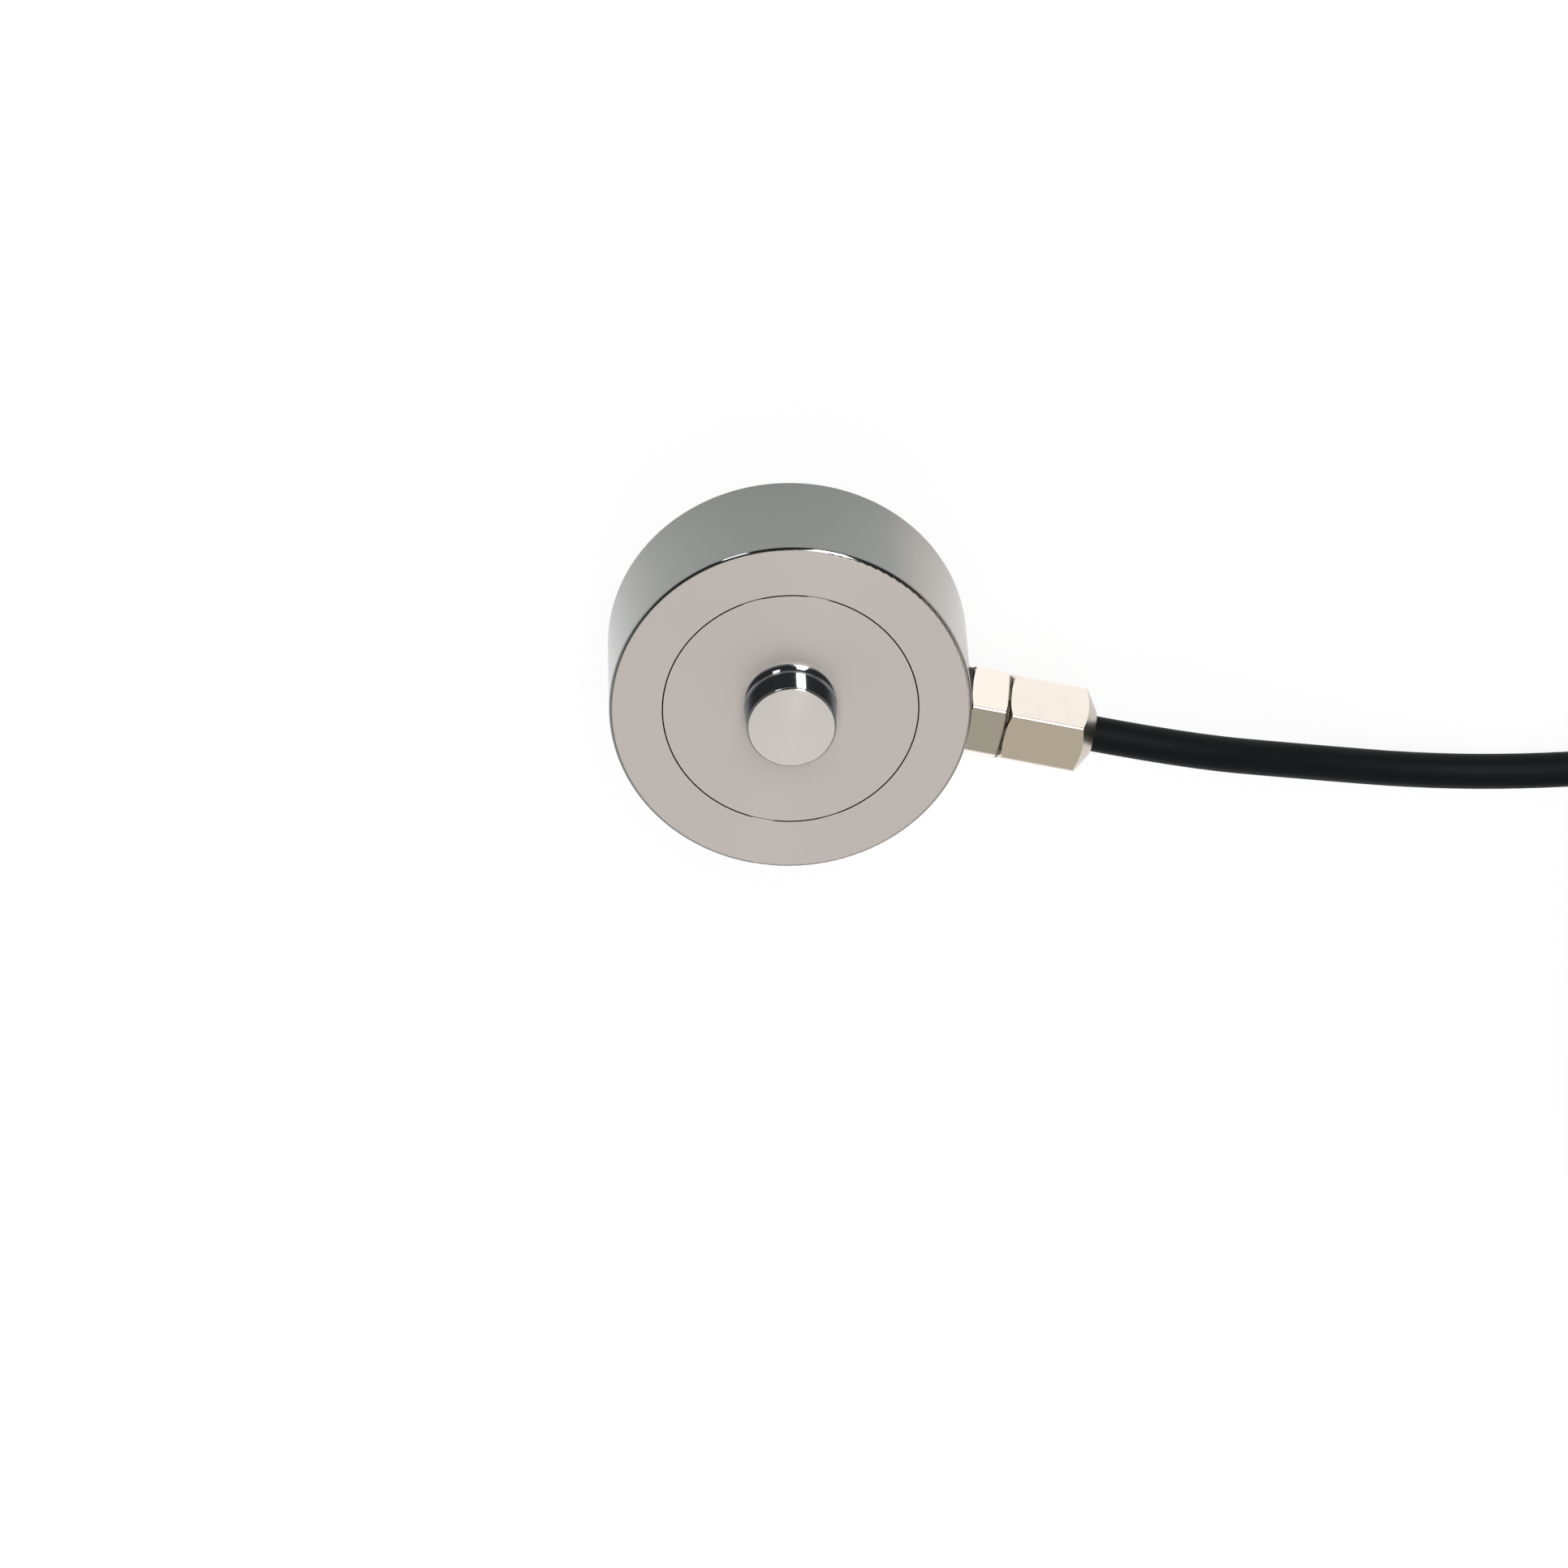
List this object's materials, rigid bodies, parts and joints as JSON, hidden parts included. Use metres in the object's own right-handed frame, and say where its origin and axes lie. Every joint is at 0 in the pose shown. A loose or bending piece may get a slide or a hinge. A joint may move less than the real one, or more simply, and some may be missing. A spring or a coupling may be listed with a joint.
{
  "type": "miniature compression load cell",
  "caption": "Short round steel compression load cell with a raised load button on its face, a side cable gland and a thin cable wound in a coil.",
  "frame": {"origin": "centre of the flat base", "axes": "+Z along the load axis, from the base towards the load button; +X along the cable gland, away from the body"},
  "size_m": [0.136, 0.0497, 0.0185],
  "materials": {
    "body_steel": "satin ground stainless steel",
    "element_steel": "satin ground stainless steel, polished button",
    "cover_steel": "satin ground stainless steel",
    "gland_metal": "bright nickel plate over brass",
    "black_rubber": "matt",
    "circuit_board": "green solder mask",
    "chip_ceramic": "matt black with bright ends",
    "tinned_copper": "bright tinned strands",
    "gauge_film": "amber film",
    "cable_jacket": "smooth dark jacket with a soft shine",
    "tie_nylon": "black nylon",
    "shrink_sleeve": "matt black shrink tube",
    "wire_red": "smooth insulation",
    "wire_black": "smooth insulation",
    "wire_green": "smooth insulation",
    "wire_white": "smooth insulation"
  },
  "bodies": {
    "root": {"base_cover": "cover_steel", "base_gasket": "black_rubber", "cable": "cable_jacket", "cable_coil": "cable_jacket", "cable_grommet": "black_rubber", "cable_inner": "cable_jacket", "cap_nut": "gland_metal", "clamp_ring": "gland_metal", "coil_tie_1": "tie_nylon", "coil_tie_2": "tie_nylon", "core_black": "wire_black", "core_green": "wire_green", "core_red": "wire_red", "core_white": "wire_white", "end_sleeve": "shrink_sleeve", "gauge_wires": "tinned_copper", "gland_body": "gland_metal", "housing": "body_steel", "lead_black": "wire_black", "lead_green": "wire_green", "lead_red": "wire_red", "lead_shield": "tinned_copper", "lead_tips": "tinned_copper", "lead_white": "wire_white", "port_seal": "black_rubber", "sensing_element": "element_steel", "strain_gauge_1": "gauge_film", "strain_gauge_2": "gauge_film", "strain_gauge_3": "gauge_film", "strain_gauge_4": "gauge_film", "terminal_board": "circuit_board", "trim_resistors": "chip_ceramic"}
  },
  "joints": []
}
